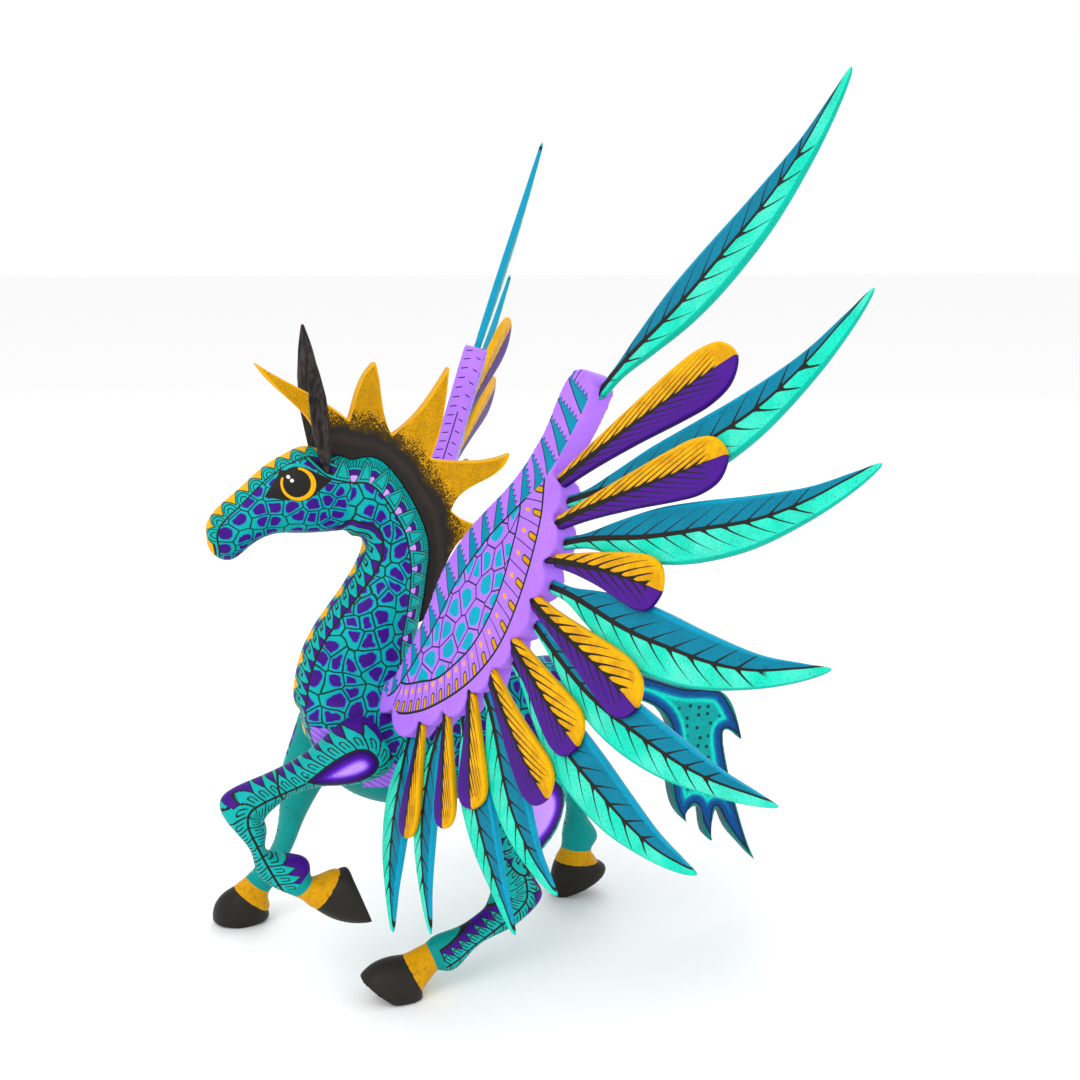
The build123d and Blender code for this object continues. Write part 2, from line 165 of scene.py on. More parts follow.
class Coat:
    """A painted-wood material, built up from a ground colour by laying colours over it."""

    def __init__(self, name, ground):
        self.material = bpy.data.materials.new(name)
        self.material.use_nodes = True
        self.tree = self.material.node_tree
        self.shader = self.tree.nodes["Principled BSDF"]
        self.colour = ground

    def coordinates(self, attribute):
        """The three numbers that a mesh attribute holds."""
        source = self.tree.nodes.new("ShaderNodeAttribute")
        source.attribute_name = attribute
        split = self.tree.nodes.new("ShaderNodeSeparateXYZ")
        self.tree.links.new(source.outputs["Vector"], split.inputs[0])
        return [Num(self.tree, output) for output in split.outputs]

    def vector(self, x, y, z=0.0):
        node = self.tree.nodes.new("ShaderNodeCombineXYZ")
        for place, value in zip(node.inputs, (x, y, z)):
            feed(self.tree, place, value)
        return node.outputs[0]

    def noise(self, scale, detail=2.0, where=None):
        """Cloudy variation from 0 to 1, mostly near 0.5; scale is in cycles per mm."""
        node = self.tree.nodes.new("ShaderNodeTexNoise")
        node.inputs["Scale"].default_value = scale
        node.inputs["Detail"].default_value = detail
        self.tree.links.new(where or self.position(), node.inputs["Vector"])
        return Num(self.tree, node.outputs[0])

    def position(self):
        """Place on the piece in mm."""
        source = self.tree.nodes.new("ShaderNodeAttribute")
        source.attribute_name = "place"
        return source.outputs["Vector"]

    def cells(self, where, scale, jitter, feature, dimensions="2D"):
        node = self.tree.nodes.new("ShaderNodeTexVoronoi")
        node.voronoi_dimensions = dimensions
        node.feature = feature
        node.inputs["Scale"].default_value = scale
        node.inputs["Randomness"].default_value = jitter
        self.tree.links.new(where, node.inputs["Vector"])
        return Num(self.tree, node.outputs["Distance"]) / scale

    def lay(self, colour, mask):
        """Lays a colour over what is there, where the mask is 1."""
        self.colour = self.blend(self.colour, colour, mask)

    def blend(self, low, high, mask):
        node = self.tree.nodes.new("ShaderNodeMix")
        node.data_type = "RGBA"
        self.set_input(node.inputs[0], mask)
        self.set_input(node.inputs[6], low)
        self.set_input(node.inputs[7], high)
        return node.outputs[2]

    def set_input(self, place, value):
        feed(self.tree, place, value)

    def finish(self, speckle=0.5, roughness=0.46):
        """Brushwork, fine speckle, and the sheen and relief of hand-painted wood."""
        cloud = self.noise(0.09, 3.0)
        grain = self.noise(1.5, 2.0)
        dots = self.noise(2.6, 0.0)
        shade = (cloud - 0.5) * 0.35 + (grain - 0.5) * 0.22 + 1.0  # brighter and darker by brushwork
        tone = self.tree.nodes.new("ShaderNodeHueSaturation")
        tone.inputs["Saturation"].default_value = 1.08
        self.set_input(tone.inputs["Value"], shade)
        self.set_input(tone.inputs["Color"], self.colour)
        tinted = self.blend(tone.outputs[0], LINE, over(dots, 0.67, 0.03) * speckle)
        self.set_input(self.shader.inputs["Base Color"], tinted)
        gloss = (grain - 0.5) * 0.25 + (cloud - 0.5) * 0.2 + roughness
        self.set_input(self.shader.inputs["Roughness"], gloss)
        self.shader.inputs["Specular IOR Level"].default_value = 0.1
        height = self.noise(0.35, 3.0) * 0.5 + grain * 0.12 + self.noise(0.12, 1.0)
        bump = self.tree.nodes.new("ShaderNodeBump")
        bump.inputs["Strength"].default_value = 0.35
        bump.inputs["Distance"].default_value = 0.0006
        self.set_input(bump.inputs["Height"], height)
        self.tree.links.new(bump.outputs[0], self.shader.inputs["Normal"])
        return self.material


# ---- meshes and coordinates over them
def smooth_line(points, steps=8):
    """Points close together on a smooth curve through the given ones."""
    p = np.array(points, float)
    p = np.vstack([2 * p[0] - p[1], p, 2 * p[-1] - p[-2]])
    t = np.linspace(0, 1, steps, endpoint=False)[:, None]
    runs = []
    for a, b, c, d in zip(p, p[1:], p[2:], p[3:]):
        square = 2 * a - 5 * b + 4 * c - d
        cube = 3 * b - a - 3 * c + d
        runs.append(0.5 * (2 * b + (c - a) * t + square * t**2 + cube * t**3))
    return np.vstack([*runs, p[-2:-1]])


def beside_line(points, line):
    """For each 2-D point: how far along a line its nearest place is, and how far off, left positive."""
    nearest = np.full(len(points), np.inf)
    along = np.zeros(len(points))
    aside = np.zeros(len(points))
    passed = 0.0
    for a, b in zip(line, line[1:]):
        run = b - a
        length = float(np.hypot(*run))
        share = np.clip((points - a) @ run / length**2, 0, 1)
        gap = points - a - share[:, None] * run
        distance = np.hypot(gap[:, 0], gap[:, 1])
        closer = distance < nearest
        nearest[closer] = distance[closer]
        along[closer] = passed + share[closer] * length
        turn = run[0] * gap[:, 1] - run[1] * gap[:, 0]
        aside[closer] = (np.sign(turn) * distance)[closer]
        passed += length
    return along, aside


def new_piece(name, vertices, faces):
    mesh = bpy.data.meshes.new(name)
    mesh.from_pydata([tuple(v) for v in vertices], [], faces)
    mesh.validate()
    piece = bpy.data.objects.new(name, mesh)
    bpy.context.scene.collection.objects.link(piece)
    return piece


def carved(node, name, voxel, rounds=3):
    """The shape of a CAD node as an even mesh with softened edges. Voxel is in mm."""
    piece = bpy.data.objects.new(name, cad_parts[node].data.copy())
    bpy.context.scene.collection.objects.link(piece)
    piece.data.materials.clear()
    remesh = piece.modifiers.new("Remesh", "REMESH")
    remesh.mode = "VOXEL"
    remesh.voxel_size = voxel * MM
    soften = piece.modifiers.new("Soften", "SMOOTH")
    soften.factor = 0.5
    soften.iterations = rounds
    graph = bpy.context.evaluated_depsgraph_get()
    mesh = bpy.data.meshes.new_from_object(piece.evaluated_get(graph))
    piece.modifiers.clear()
    piece.data = mesh
    mesh.name = name
    return piece


def shade_smooth(piece):
    piece.data.polygons.foreach_set("use_smooth", [True] * len(piece.data.polygons))


def vertex_places(piece):
    """Side, back and up of every vertex in mm, in the tables' frame."""
    places = np.zeros(len(piece.data.vertices) * 3)
    piece.data.vertices.foreach_get("co", places)
    return places.reshape(-1, 3) / MM + (0, MID_BACK, 0)


def vertex_normals(piece):
    normals = np.zeros(len(piece.data.vertices) * 3)
    piece.data.vertex_normals.foreach_get("vector", normals)
    return normals.reshape(-1, 3)


def store(piece, name, *columns):
    """Keeps up to three numbers for every vertex, for the paint to read."""
    values = np.zeros((len(piece.data.vertices), 3), np.float32)
    for place, column in enumerate(columns):
        values[:, place] = column
    attribute = piece.data.attributes.new(name, "FLOAT_VECTOR", "POINT")
    attribute.data.foreach_set("vector", values.ravel())


def done(piece, body, slot, material, *nodes):
    shade_smooth(piece)
    if "place" not in piece.data.attributes:
        store(piece, "place", *vertex_places(piece).T)
    piece.data.materials.clear()
    piece.data.materials.append(material)
    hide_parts(*nodes)
    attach(piece, body)


# ---- body
SKIN_ROUNDING = 14.0  # mm, typical radius of the body's sides
CREST_LINE = [  # along the top of the neck, from the poll to the withers
    (98, 222), (106, 220.5), (115, 217.5), (123, 210), (129, 201), (134, 192), (136, 183), (136.5, 172),
    (134.5, 160), (131, 146), (127, 132),
]
CHEST_LINE = [  # down the front of the neck
    (108.5, 186), (108.5, 177), (101.5, 165.5), (95, 157), (87.5, 147), (82, 137), (79, 127),
    (78.5, 115), (82, 104), (88, 92),
]
NOSE_LINE = [  # up the bridge of the nose
    (46, 187), (46.5, 193), (48, 196.5), (52, 201), (60, 207.5), (66, 212.5), (71.5, 217), (79, 221),
    (86, 223.5), (93, 223),
]
EYE = (81.7, 209.8)


def from_edge(places, line):
    """Along an edge in the mid-plane, and the straight distance from it through the piece."""
    along, aside = beside_line(places[:, 1:], smooth_line(line))
    return along, np.hypot(aside, places[:, 0])


def unrolled(places, normals):
    """Back and up, spread where the surface turns from the side, so that patterns keep their size."""
    turned = np.arccos(np.clip(np.abs(normals[:, 0]), 0, 1))
    level = np.maximum(np.hypot(normals[:, 1], normals[:, 2]), 1e-6)
    spread = SKIN_ROUNDING * (turned - np.sin(turned)) / level
    return places[:, 1] + normals[:, 1] * spread, places[:, 2] + normals[:, 2] * spread


def make_body():
    piece = carved("body", "body_skin", 1.0, 4)
    places = vertex_places(piece)
    normals = vertex_normals(piece)
    store(piece, "skin", *unrolled(places, normals), places[:, 0])
    store(piece, "crest", *from_edge(places, CREST_LINE))
    store(piece, "chest", *from_edge(places, CHEST_LINE))
    store(piece, "nose", *from_edge(places, NOSE_LINE))
    return piece


def lay_cells(coat, where, scale, mask):
    """Rounded cells: a dark line between them, a bright rim, and a purple heart edged in blue."""
    edge = coat.cells(where, scale, 0.85, "DISTANCE_TO_EDGE")
    heart = coat.cells(where, scale, 0.85, "F1")
    wobble = (coat.noise(0.4, 1.0) - 0.5) * 1.7
    inset = calc("SMOOTH_MIN", edge - 1.1, 0.45 / scale - heart, 0.8) + wobble
    coat.lay(rgb(18, 138, 190), mask & over(inset, -0.28, 0.25))
    coat.lay(PURPLE, mask & over(inset, 0.12, 0.2))
    coat.lay(GREEN_LINE, mask & under(edge, 0.38, 0.2))


def lay_crest_band(coat, along, off):
    """Beside the mane: teal triangles in dark outline, with lilac and purple fans between them."""
    wide, step = 15.4, 10.2
    up = wide - off  # from the band's inner line toward the mane
    near = repeat(along + 1.5, step)
    fan_side = step / 2 - abs(near)
    ray = hypot(fan_side, up)
    band = under(off, wide)
    coat.lay(TEAL, band)
    spokes = repeat(calc("ARCTAN2", fan_side, up), 0.135)
    coat.lay(GREEN_LINE, band & between(ray, 6.9, 10.6) & stroke(spokes * ray, 0.42))
    coat.lay(GREEN_LINE, band & stroke(ray - 6.7, 0.4))
    coat.lay(PURPLE, band & under(ray, 5.2))
    coat.lay(LINE, band & stroke(ray - 5.3, 0.45))
    coat.lay(PALE_LILAC, band & under(ray, 2.9))
    coat.lay(LINE, band & stroke(ray - 3.0, 0.3))
    outer = 4.3 - up * 0.36 - abs(near)
    coat.lay(TEAL, band & over(outer, 0.0))
    coat.lay(LINE, band & stroke(outer, 0.5))
    inside = calc("MINIMUM", outer - 1.15, up - 1.3)
    coat.lay(LINE, band & stroke(inside, 0.42))
    coat.lay(LINE, stroke(up, 0.7))


def lay_nose_band(coat, along, off):
    """Gold triangles on the bridge of the nose, between fans of teal arcs."""
    wide, step = 8.6, 7.0
    band = under(off, wide)
    up = wide - off
    near = repeat(along, step)
    ray = hypot(near, up * 0.6)
    coat.lay(TEAL, band)
    coat.lay(GREEN_LINE, band & stroke(repeat(ray + 0.5, 1.25), 0.4))
    triangle = (up - 1.5) * 0.5 - (step / 2 - abs(near))
    coat.lay(BRIGHT_GOLD, band & over(triangle, 0.0))
    coat.lay(LINE, band & stroke(triangle, 0.5))
    coat.lay(LINE, stroke(up, 0.6))


def lay_chest_band(coat, along, off):
    """Down the front of the neck: purple triangles, teal slabs with hooks, and gold lozenges."""
    wide = 12.4 - along * 0.026
    step = 5.3
    band = under(off, wide)
    up = wide - off
    slab = repeat(along + up * 0.55, step)
    edge = step / 2 - abs(slab)
    coat.lay(TEAL, band)
    triangle = 3.4 - up * 0.85 - edge * 1.5
    coat.lay(PURPLE, band & over(triangle, 0.0))
    coat.lay(LINE, band & stroke(triangle * 0.6, 0.4) & under(up, 7.0))
    coat.lay(LINE, band & stroke(edge, 0.7) & between(up, 3.4, 7.4))
    hook = calc("MAXIMUM", abs(slab + 0.1) - 0.8, abs(up - 5.4) - 1.2)
    coat.lay(LINE, band & stroke(hook, 0.45))
    coat.lay(LINE, band & over(hook, -0.9) & under(hook, 0.0) & under(up, 5.0))
    coat.lay(DARK_PURPLE, band & over(up, 7.4))
    coat.lay(PURPLE, band & over(up, 8.0))
    coat.lay(LINE, band & stroke(up - 7.4, 0.5))
    front = repeat(along, step * 2)
    jewel = 3.0 - abs(front) * 0.9 - abs(off - 1.4)
    coat.lay(TEAL, band & over(jewel, -1.2) & over(up, 7.7))
    coat.lay(BRIGHT_GOLD, band & over(jewel, 0.0))
    coat.lay(LINE, band & (stroke(jewel, 0.4) | stroke(jewel + 1.2, 0.35)) & over(up, 7.6))
    coat.lay(LINE, stroke(up, 1.0))


def lay_eye(coat, back, up):
    """Painted eye: a black almond, a gold crescent and two highlights."""
    x = back - EYE[0]
    y = up - EYE[1]
    ring = hypot(x, y * 1.07)
    front_corner = calc("MINIMUM", 14.7 + x * 1.46 - y, y + 7.1 + x * 0.18)
    rear_corner = (13.6 - x) * 0.62 - abs(y + 0.4 - x * 0.1)
    coat.lay(TEAL, under(ring, 8.4) & over(y, 1.0))
    front = over(front_corner, 0.0) & under(x, -3.6) & under(y, 5.4)
    rear = over(rear_corner, 0.0) & over(x, 3.0)
    coat.lay(LINE, under(ring, 7.2) | front | rear)
    pupil = hypot(x + 0.55, y - 0.3)
    gap = under(x, 0.3) & over(y, 2.6)
    coat.lay(BRIGHT_GOLD, under(ring, 6.9) & over(pupil, 5.4) & ~gap)
    for dx, dy in ((-3.7, 2.9), (-2.4, 1.5)):
        coat.lay(WHITE, under(hypot(x - dx, y - dy), 0.7))


def body_paint():
    coat = Coat("body_paint", TEAL)
    back, up, side = coat.coordinates("skin")
    crest_along, crest_off, _ = coat.coordinates("crest")
    chest_along, chest_off, _ = coat.coordinates("chest")
    nose_along, nose_off, _ = coat.coordinates("nose")
    _, true_back, true_up = coat.coordinates("place")
    warp = coat.noise(0.06, 1.0)
    head = under(true_back - (true_up - 190) * 0.25, 99.0, 0.5) & over(true_up, 176.0, 0.5)
    where = coat.vector(back + (warp - 0.5) * 9, up + (warp - 0.5) * 7, 0.0)
    where_head = coat.vector(back * 1.22 + 3.0, up * 1.42, 0.0)
    belly = under(true_up - abs(true_back - 145) * 0.10, 84.0, 0.6) & over(true_back, 84.0)
    lay_cells(coat, where, 0.134, ~head)
    lay_cells(coat, where_head, 0.124, head)
    coat.lay(DEEP_TEAL, belly)
    elbow = between(true_back, 104.0, 128.0) & between(true_up, 83.0, 94.0)
    patch = elbow | (between(true_back, 84.0, 91.0) & between(true_up, 95.0, 110.0))
    coat.lay(LILAC, patch)
    coat.lay(PURPLE, patch & stroke(repeat(true_back * 0.7 + true_up, 2.6), 0.35))
    lay_chest_band(coat, chest_along, chest_off)
    lay_crest_band(coat, crest_along, crest_off)
    lay_nose_band(coat, nose_along, nose_off)
    lay_eye(coat, true_back, true_up)
    return coat.finish(speckle=0.35)


# ---- legs
class Leg:
    """Where a leg's paint goes: the line its bars grow from, and its gold and hoof edges."""

    def __init__(self, node, side, vine, gold, hoof, turn, cap):
        self.node = node
        self.kind = node.split("_")[0]
        self.side = side
        self.vine = vine
        self.gold = gold
        self.hoof = hoof
        self.turn = turn  # how far along the vine the purple edge changes sides
        self.cap = cap  # how far from the vine a plain strip begins beyond the purple


LEGS = [
    Leg("foreleg_left", 1,
        [(70, 47), (66, 54), (61.5, 63), (58, 71), (55, 79), (56, 84.5), (61, 87.5), (68, 90), (74, 92),
         (79, 94)],
        ((72, 47.5), (79.5, 54)), ((80, 41.5), (90, 55)), 40.0, 90.0),
    Leg("hindleg_left", 1,
        [(126, 9.5), (132, 12.5), (138, 15.5), (146, 20.5), (155, 26.5), (163, 32), (167, 37), (167, 44),
         (164, 52), (163, 58)],
        ((125, 20.8), (129, 10)), ((115, 17.3), (122, 2.5)), 45.0, 7.6),
    Leg("foreleg_right", -1,
        [(66.5, 19), (69.7, 23), (74, 31), (78, 39.5), (80.5, 50), (83.5, 63), (88, 76)],
        ((61.5, 22.8), (71.5, 15.3)), ((56.5, 17.6), (70.5, 5.8)), 200.0, 90.0),
    Leg("hindleg_right", -1,
        [(214, 24), (215, 30), (213.3, 40), (213, 50), (210, 60), (200.5, 69), (191, 76)],
        ((207, 25), (221.5, 22.8)), ((204.5, 18.3), (224, 16)), 30.0, 7.6),
]
SHOULDER_DROP = [
    (79, 94.5), (85.5, 99.5), (92, 103.5), (98.5, 105.8), (104, 104.5), (107, 99.5), (104.5, 94.5),
    (98, 91.8), (90, 91.2), (84, 92.5), (79, 94.5),
]
HIP_DROP = [
    (166, 58), (163, 66), (163, 74), (166.5, 82), (172.5, 86.5), (179, 85.5), (184, 79.5), (184.5, 72),
    (181, 64.5), (175, 58), (169, 53), (166, 58),
]
DROPS = {"foreleg": SHOULDER_DROP, "hindleg": HIP_DROP}
DROP_BANDS = (  # how far inside the drop's edge each colour starts
    (0.3, DARK_PURPLE), (1.6, PURPLE), (2.6, VIOLET), (3.5, MID_VIOLET), (4.3, LILAC), (5.2, PALE_LILAC),
)
# width of the ring of bars round each drop, at distances along the drop's outline
RING_WIDTHS = {
    "foreleg": ([0, 36, 43, 62, 66], [11.8, 11.8, 4.3, 4.3, 9]),
    "hindleg": ([0, 34, 45, 70, 90], [11, 11, 5, 5, 9]),
}


def beyond(places, edge):
    """How far past an edge across the leg, toward the hoof."""
    (b0, u0), (b1, u1) = edge
    length = math.hypot(b1 - b0, u1 - u0)
    return ((places[:, 1] - b0) * (u1 - u0) - (places[:, 2] - u0) * (b1 - b0)) / length


def toward_hoof(places, edge, hoof_tip):
    distance = beyond(places, edge)
    tip = beyond(np.array([[0, *hoof_tip]]), edge)[0]
    return distance * np.sign(tip)


HOOF_TIPS = {
    "foreleg_left": (97, 42),
    "hindleg_left": (108, 4),
    "foreleg_right": (52, 5),
    "hindleg_right": (214, 5),
}
# the right legs stand differently, so their drops are moved to suit
DROP_MOVES = {"foreleg_right": (-6, -1), "hindleg_right": (14, 13)}
POINT_STARTS = {"foreleg": 5.2, "hindleg": 2.8}  # where the bars start to narrow, out from the vine


def drop_outline(leg):
    """The drop on the shoulder or hip."""
    move = np.array(DROP_MOVES.get(leg.node, (0, 0)), float)
    return smooth_line(np.array(DROPS[leg.kind], float) + move)


def make_leg(leg):
    piece = carved(leg.node, leg.node + "_carving", 0.8, 3)
    places = vertex_places(piece)
    normals = vertex_normals(piece)
    flat = places[:, 1:]
    along, aside = beside_line(flat, smooth_line(leg.vine))
    outline = drop_outline(leg)
    around, outside = beside_line(flat, outline)
    inside = points_inside(flat, outline)
    outside = np.where(inside, -np.abs(outside), np.abs(outside))
    if leg.node == "hindleg_left":
        aside = -aside  # its purple points are on the cannon bone's upper side
    store(piece, "vine", along, aside, normals[:, 0] * leg.side)
    store(piece, "drop", around, outside, np.interp(around, *RING_WIDTHS[leg.kind]))
    tip = HOOF_TIPS[leg.node]
    past_gold = toward_hoof(places, leg.gold, tip)
    past_hoof = toward_hoof(places, leg.hoof, tip)
    store(piece, "boot", past_gold, past_hoof, POINT_STARTS[leg.kind])
    girth = np.linalg.norm(np.diff(outline, axis=0), axis=1).sum()
    store(piece, "plan", leg.turn, leg.cap, girth - 1.5)
    return piece


def points_inside(points, outline):
    """Which 2-D points lie inside a closed outline."""
    inside = np.zeros(len(points), bool)
    x, y = points[:, 0], points[:, 1]
    for (x0, y0), (x1, y1) in zip(outline, np.roll(outline, -1, axis=0)):
        if y0 == y1:
            continue
        crosses = (y0 > y) != (y1 > y)
        inside ^= crosses & (x < (x1 - x0) * (y - y0) / (y1 - y0) + x0)
    return inside


def lay_bars(coat, mask, along, reach, purple_side, step, point=5.2):
    """Teal bars that grow from a line, each with a hook; on the purple side they end in points."""
    slanted = repeat(along + reach * 0.5, step)
    taper = calc("MAXIMUM", reach - point, 0.0)
    bar = step / 2 - 0.3 - abs(slanted) - taper * 0.55 * purple_side
    coat.lay(LINE, mask)
    coat.lay(PURPLE, mask & purple_side & under(bar, -0.5))
    coat.lay(TEAL, mask & over(bar, 0.0))
    arch = hypot(slanted, calc("MAXIMUM", reach - 4.0, 0.0))
    coat.lay(LINE, mask & over(reach, 1.7) & stroke(arch - 0.75, 0.48))


def leg_paint():
    coat = Coat("leg_paint", DEEP_TEAL)
    along, aside, outward = coat.coordinates("vine")
    around, outside, ring_width = coat.coordinates("drop")
    past_gold, past_hoof, point = coat.coordinates("boot")
    turn, cap, ring_end = coat.coordinates("plan")
    spots = coat.cells(coat.position(), 0.42, 1.0, "F1", "3D")
    coat.lay(LINE, under(spots, 0.34, 0.2) * 0.75)
    outer = over(outward, -0.22, 0.06)
    reach = abs(aside)
    late = over(along, turn)
    purple_side = (over(aside, 0.0) & late) | (under(aside, 0.0) & ~late)
    limb = outer & under(past_gold, -3.6)
    lay_bars(coat, limb, along, reach, purple_side, 4.4, point)
    strip = limb & purple_side & ~late
    coat.lay(DEEP_TEAL, strip & over(reach - cap, 0.0))
    coat.lay(LINE, (strip & stroke(reach - cap, 0.9)) | (limb & stroke(aside, 1.0)))
    ring = outer & under(outside, ring_width) & between(around, 1.5, ring_end, 0.3)
    lay_bars(coat, ring, around, outside, over(outside, -1.0), 4.6)
    coat.lay(LINE, outer & stroke(outside - ring_width, 0.9))
    coat.lay(LINE, outer & under(outside, 0.5))
    for inset, colour in DROP_BANDS:
        coat.lay(colour, outer & under(outside, -inset, 0.25))
    smear = coat.noise(0.5, 2.0)
    coat.lay(GOLD, over(past_gold + (smear - 0.5) * 0.8, 0.0, 0.2))
    coat.lay(rgb(150, 110, 12), over(past_gold, 0.0, 0.2) & over(smear, 0.6, 0.15) * 0.5)
    coat.lay(CHARCOAL, over(past_hoof + (smear - 0.5) * 0.6, 0.0, 0.2))
    return coat.finish(speckle=0.3)


# ---- mane, ears and tail
MANE_EDGES = [  # the edges of the mane's points, from the forelock to the withers
    [(92, 221.5), (88.5, 233), (77, 245.5), (67, 257.5)],
    [(67, 257.5), (78, 250.5), (92, 242.5), (104, 233.5)],
    [(104, 233.5), (106.5, 242), (110, 250.5), (115.3, 256.7)],
    [(115.3, 256.7), (117, 248), (118.5, 236), (121.5, 227)],
    [(121.5, 227), (133, 236.5), (140, 245.5), (146, 254.5)],
    [(146, 254.5), (144.5, 242), (142, 229), (137.5, 216.5)],
    [(137.5, 216.5), (148, 215), (160, 214.8), (171.5, 217.3)],
    [(171.5, 217.3), (164, 208.5), (152, 202.5), (146, 194.5)],
    [(146, 194.5), (151, 190.5), (160, 187)],
    [(160, 187), (149, 181), (143, 171), (136, 150)],
]
TAIL_OUTLINE = [
    (205, 119), (216, 121), (231, 117.5), (250, 110.5), (262, 109), (270, 106), (277, 94), (280, 82.5),
    (275, 87), (271, 88.5), (270.5, 84), (272, 75), (275, 62), (279, 48), (284, 33), (288, 24),
    (280, 33), (273, 43), (268, 52), (266.5, 48), (267, 36), (262, 43), (258, 54), (255, 53),
    (254, 46), (249, 52), (246, 62), (245, 74), (246, 86), (243, 96), (236, 103), (226, 107),
    (214, 108), (205, 107),
]


def make_mane():
    piece = carved("mane_crest", "mane_carving", 0.55, 2)
    places = vertex_places(piece)
    _, from_crest = beside_line(places[:, 1:], smooth_line(CREST_LINE))
    edges = np.vstack([smooth_line(edge) for edge in MANE_EDGES])
    _, from_top = beside_line(places[:, 1:], edges)
    store(piece, "mane", np.abs(from_crest), np.abs(from_top), np.abs(vertex_normals(piece)[:, 0]))
    return piece


def mane_paint():
    coat = Coat("mane_paint", MUSTARD)
    from_crest, from_top, face = coat.coordinates("mane")
    coarse = coat.noise(0.2, 2.0)
    dust = coat.noise(2.2, 0.0)
    coat.lay(rgb(204, 148, 12), over(coarse, 0.46, 0.3))
    coat.lay(rgb(140, 104, 10), over(dust, 0.60, 0.08) * 0.6)
    edge = from_crest + (coarse - 0.5) * 7
    coat.lay(rgb(70, 54, 20), over(dust * 16.0 - edge, -6.0, 2.0) & under(edge, 17.0, 3.0))
    coat.lay(CHARCOAL, under(edge, 9.4, 2.2))
    # a lighter grey stripe along the middle of the black band: painted sheen highlight
    coat.lay(rgb(70, 60, 54), under(abs(from_crest - 4.6) + (coarse - 0.5) * 3, 1.6, 1.5) * 0.3)
    # brighter gold along the points' outline and on their edge walls: painted highlight
    rim = under(from_top + (coarse - 0.5) * 0.8, 0.55, 0.4)
    coat.lay(BRIGHT_GOLD, rim & over(from_crest, 11.0, 2.0))
    coat.lay(rgb(214, 158, 18), under(face, 0.5, 0.2) & over(from_crest, 11.0, 2.0))
    return coat.finish(speckle=0.3)


def make_tail():
    piece = carved("tail", "tail_carving", 0.6, 2)
    places = vertex_places(piece)
    _, inset = beside_line(places[:, 1:], smooth_line(TAIL_OUTLINE, 5))
    store(piece, "tail", np.abs(inset), np.abs(vertex_normals(piece)[:, 0]))
    return piece


def tail_paint():
    coat = Coat("tail_paint", rgb(0, 160, 158))
    inset, face, _ = coat.coordinates("tail")
    _, back, up = coat.coordinates("place")
    spots = coat.cells(coat.vector(back, up), 0.21, 0.45, "F1")
    coat.lay(GREEN_LINE, under(spots, 0.85, 0.3))
    coat.lay(rgb(30, 215, 195), under(inset, 6.6, 1.3))
    coat.lay(rgb(0, 120, 165), under(inset, 5.0, 0.7))
    coat.lay(DEEP_BLUE, under(inset + (coat.noise(0.3, 2.0) - 0.5) * 2, 3.9, 1.0))
    coat.lay(LINE, between(inset, 0.8, 1.7, 0.5) * 0.9)
    coat.lay(rgb(10, 130, 125), under(inset, 0.8, 0.3))
    coat.lay(rgb(8, 110, 118), under(face, 0.5, 0.2))
    return coat.finish(speckle=0.6)


EARS = {  # root, tip, and breadth beside the usual
    "left": ((10.0, 93.0, 218.0), (27.5, 86.0, 262.0), 0.87),
    "right": ((-10.0, 93.0, 218.0), (-22.0, 90.0, 271.0), 1.18),
}
EAR_SHAPE = [  # share of the length, half breadth, half thickness, from the peg's foot to the tip
    (-0.13, 1.5, 1.5), (-0.02, 1.5, 1.5), (0.0, 2.5, 2.4), (0.12, 3.2, 2.6), (0.35, 4.3, 2.4),
    (0.6, 4.0, 2.0), (0.82, 2.5, 1.4), (0.94, 1.2, 0.75), (1.0, 0.45, 0.35),
]


def make_ear(name, root, tip, breadth):
    """A leaf-shaped ear, hollowed down its front."""
    root, tip = np.array(root), np.array(tip)
    axis = tip - root
    length = np.linalg.norm(axis)
    axis /= length
    broad = np.cross((1, 0, 0), axis)
    broad /= np.linalg.norm(broad)
    thick = np.cross(broad, axis)
    shape = np.array(EAR_SHAPE)
    turns = 32
    vertices = []
    shares = np.linspace(EAR_SHAPE[0][0], 1.0, 60)
    for share in shares:
        half_broad = np.interp(share, shape[:, 0], shape[:, 1]) * (breadth if share > 0 else 1)
        half_thick = np.interp(share, shape[:, 0], shape[:, 2])
        hollow = math.sin(math.pi * min(max((share - 0.08) / 0.87, 0), 1)) * 0.75
        for turn in range(turns):
            angle = 2 * math.pi * turn / turns
            across = math.cos(angle) * half_broad
            deep = math.sin(angle) * half_thick
            if deep * root[0] < 0:
                deep *= 1 - hollow * 1.35 * (1 - (across / half_broad) ** 2)
            point = root + axis * share * length + broad * across + thick * deep
            vertices.append((point[0] * MM, (point[1] - MID_BACK) * MM, point[2] * MM))
    piece = new_piece(name, vertices, tube_faces(len(shares), turns))
    subdivide = piece.modifiers.new("Subdivision", "SUBSURF")
    subdivide.levels = subdivide.render_levels = 1
    return piece


def tube_faces(stations, turns, flip=False):
    """Faces of a closed tube of rings."""
    faces = []
    for i in range(stations - 1):
        for j in range(turns):
            a, b = i * turns + j, i * turns + (j + 1) % turns
            faces.append((a, b, b + turns, a + turns))
    faces.append(tuple(reversed(range(turns))))
    faces.append(tuple(range((stations - 1) * turns, stations * turns)))
    return [tuple(reversed(face)) for face in faces] if flip else faces


def ear_paint():
    coat = Coat("ear_paint", CHARCOAL)
    side, back, up = coat.coordinates("place")
    # lighter and darker vertical streaks: painted light and shade of the ear's carved facets
    facet_shade = coat.noise(0.5, 2.0, coat.vector(side * 1.4, back * 1.4, up * 0.10))
    coat.lay(rgb(74, 66, 62), over(facet_shade, 0.56, 0.3) * 0.7)
    coat.lay(rgb(26, 24, 24), under(facet_shade, 0.42, 0.2) * 0.7)
    return coat.finish(speckle=0.2, roughness=0.42)


